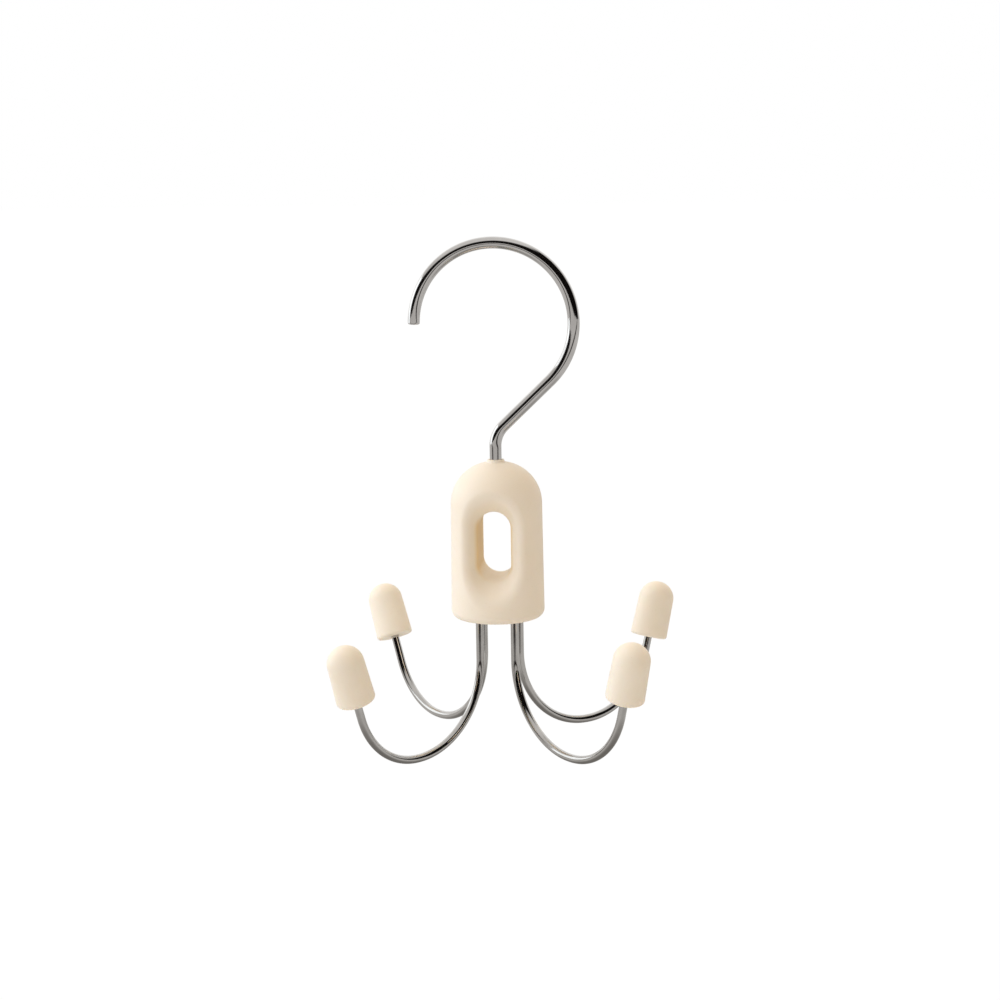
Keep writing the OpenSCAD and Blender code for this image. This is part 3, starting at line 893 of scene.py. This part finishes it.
glow = pale.add("Emission")
pale.join(shown_floor, glow.inputs["Color"])
mix = pale.add("MixShader")
pale.join(share, mix.inputs[0])
pale.join(pale.shader.outputs[0], mix.inputs[1])
pale.join(glow.outputs[0], mix.inputs[2])
pale.join(mix.outputs[0], pale.nodes["Material Output"].inputs["Surface"])
floor.data.materials.append(pale.material)

world = bpy.data.worlds.new("studio")
bpy.context.scene.world = world
world.use_nodes = True
sky = world.node_tree
backdrop = sky.nodes["Background"]
ray = sky.nodes.new("ShaderNodeLightPath")
direction = sky.nodes.new("ShaderNodeTexCoord").outputs["Generated"]


def sky_calc(operation, first, second):
    """One step of arithmetic on two of the world's values."""
    node = sky.nodes.new("ShaderNodeMath")
    node.operation = operation
    sky.links.new(first, node.inputs[0])
    sky.links.new(second, node.inputs[1])
    return node.outputs[0]


def towards(side, start, stop):
    """How far a direction is turned towards a side: 0 at start, 1 at stop."""
    aim = sky.nodes.new("ShaderNodeVectorMath")
    aim.operation = "DOT_PRODUCT"
    sky.links.new(direction, aim.inputs[0])
    aim.inputs[1].default_value = Vector(side).normalized()
    node = sky.nodes.new("ShaderNodeMapRange")
    node.interpolation_type = "SMOOTHSTEP"
    sky.links.new(aim.outputs["Value"], node.inputs["Value"])
    node.inputs["From Min"].default_value = start
    node.inputs["From Max"].default_value = stop
    return node.outputs["Result"]


def sky_mix(value, first, second, kind="MIX"):
    """Mixes two colours of the world, or adds the second to the first."""
    node = sky.nodes.new("ShaderNodeMix")
    node.data_type = "RGBA"
    node.blend_type = kind
    sky.links.new(value, node.inputs[0])
    for socket, colour in ((node.inputs[6], first), (node.inputs[7], second)):
        if hasattr(colour, "is_linked"):
            sky.links.new(colour, socket)
        else:
            socket.default_value = (*colour, 1)
    return node.outputs[2]


to_right = (0.99, 0.12, 0)
to_front = (0.12, -0.99, 0)
to_back = (-0.12, 0.99, 0)
to_left = (-0.99, -0.12, 0)
upwards = (0, 0, 1)
downwards = (0, 0, -1)
black = (0.0, 0.0, 0.0)
white = (1.0, 1.0, 1.0)
dark_room_colour = (0.005, 0.004, 0.004)
wall_colour = (0.60, 0.59, 0.58)
ceiling_colour = (0.75, 0.74, 0.73)
above_floor = towards(upwards, -0.33, -0.13)
below_ceiling = towards((0.35, 0.04, -0.94), -0.76, -0.60)
in_front = towards((0.29, -0.956, 0), -0.08, 0.10)
dark_room = sky_calc("MULTIPLY", sky_calc("MULTIPLY", above_floor, below_ceiling), in_front)
surround = sky_mix(towards(upwards, 0.5, 0.8), wall_colour, ceiling_colour)
surround = sky_mix(dark_room, surround, dark_room_colour)
surround = sky_mix(towards(to_back, 0.25, 0.75), surround, white)
ambient = black
for side, colour in ((to_right, (0.15, 0.13, 0.105)), (to_front, (0.08, 0.07, 0.055)),
                     (to_back, (0.39, 0.34, 0.28)), (to_left, (1.06, 1.14, 1.30)),
                     (upwards, (1.02, 0.86, 0.69)), (downwards, (0.17, 0.15, 0.12))):
    ambient = sky_mix(towards(side, 0.0, 1.0), ambient, colour, "ADD")
shown = sky_mix(ray.outputs["Is Glossy Ray"], ambient, surround)
seen_straight = sky_calc("MAXIMUM", ray.outputs["Is Camera Ray"], ray.outputs["Is Transmission Ray"])
shown = sky_mix(seen_straight, shown, white)
sky.links.new(shown, backdrop.inputs["Color"])
backdrop.inputs["Strength"].default_value = 1.0

key_place = Vector((-0.478, 0.067, 0.039))
key_aim = Vector((0, 0, -0.09))
key_light = bpy.data.lights.new("key", "AREA")
key_light.shape = "RECTANGLE"
key_light.size = 0.35
key_light.size_y = 0.30
key_light.energy = 0.34
key_light.color = (0.86, 0.94, 1.0)
key_lamp = bpy.data.objects.new("key", key_light)
bpy.context.scene.collection.objects.link(key_lamp)
key_lamp.location = key_place
key_lamp.rotation_euler = (key_aim - key_place).to_track_quat("-Z", "Y").to_euler()

camera_place = Vector((92.71, -752.48, 53.04)) * mm
camera_aim = Vector((1.15, 0.14, -80.42)) * mm
roll = math.radians(-0.942)
forward = (camera_aim - camera_place).normalized()
level = forward.cross(Vector((0, 0, 1))).normalized()
upright = level.cross(forward)
right = math.cos(roll) * level + math.sin(roll) * upright
above = right.cross(forward)
lens = bpy.data.cameras.new("camera")
lens.lens = 86.4
lens.sensor_width = 36
lens.clip_start = 0.01
camera = bpy.data.objects.new("camera", lens)
bpy.context.scene.collection.objects.link(camera)
turned = Matrix((right, above, -forward)).transposed().to_4x4()
camera.matrix_world = Matrix.Translation(camera_place) @ turned
bpy.context.scene.camera = camera
bpy.context.scene.view_settings.view_transform = "Standard"
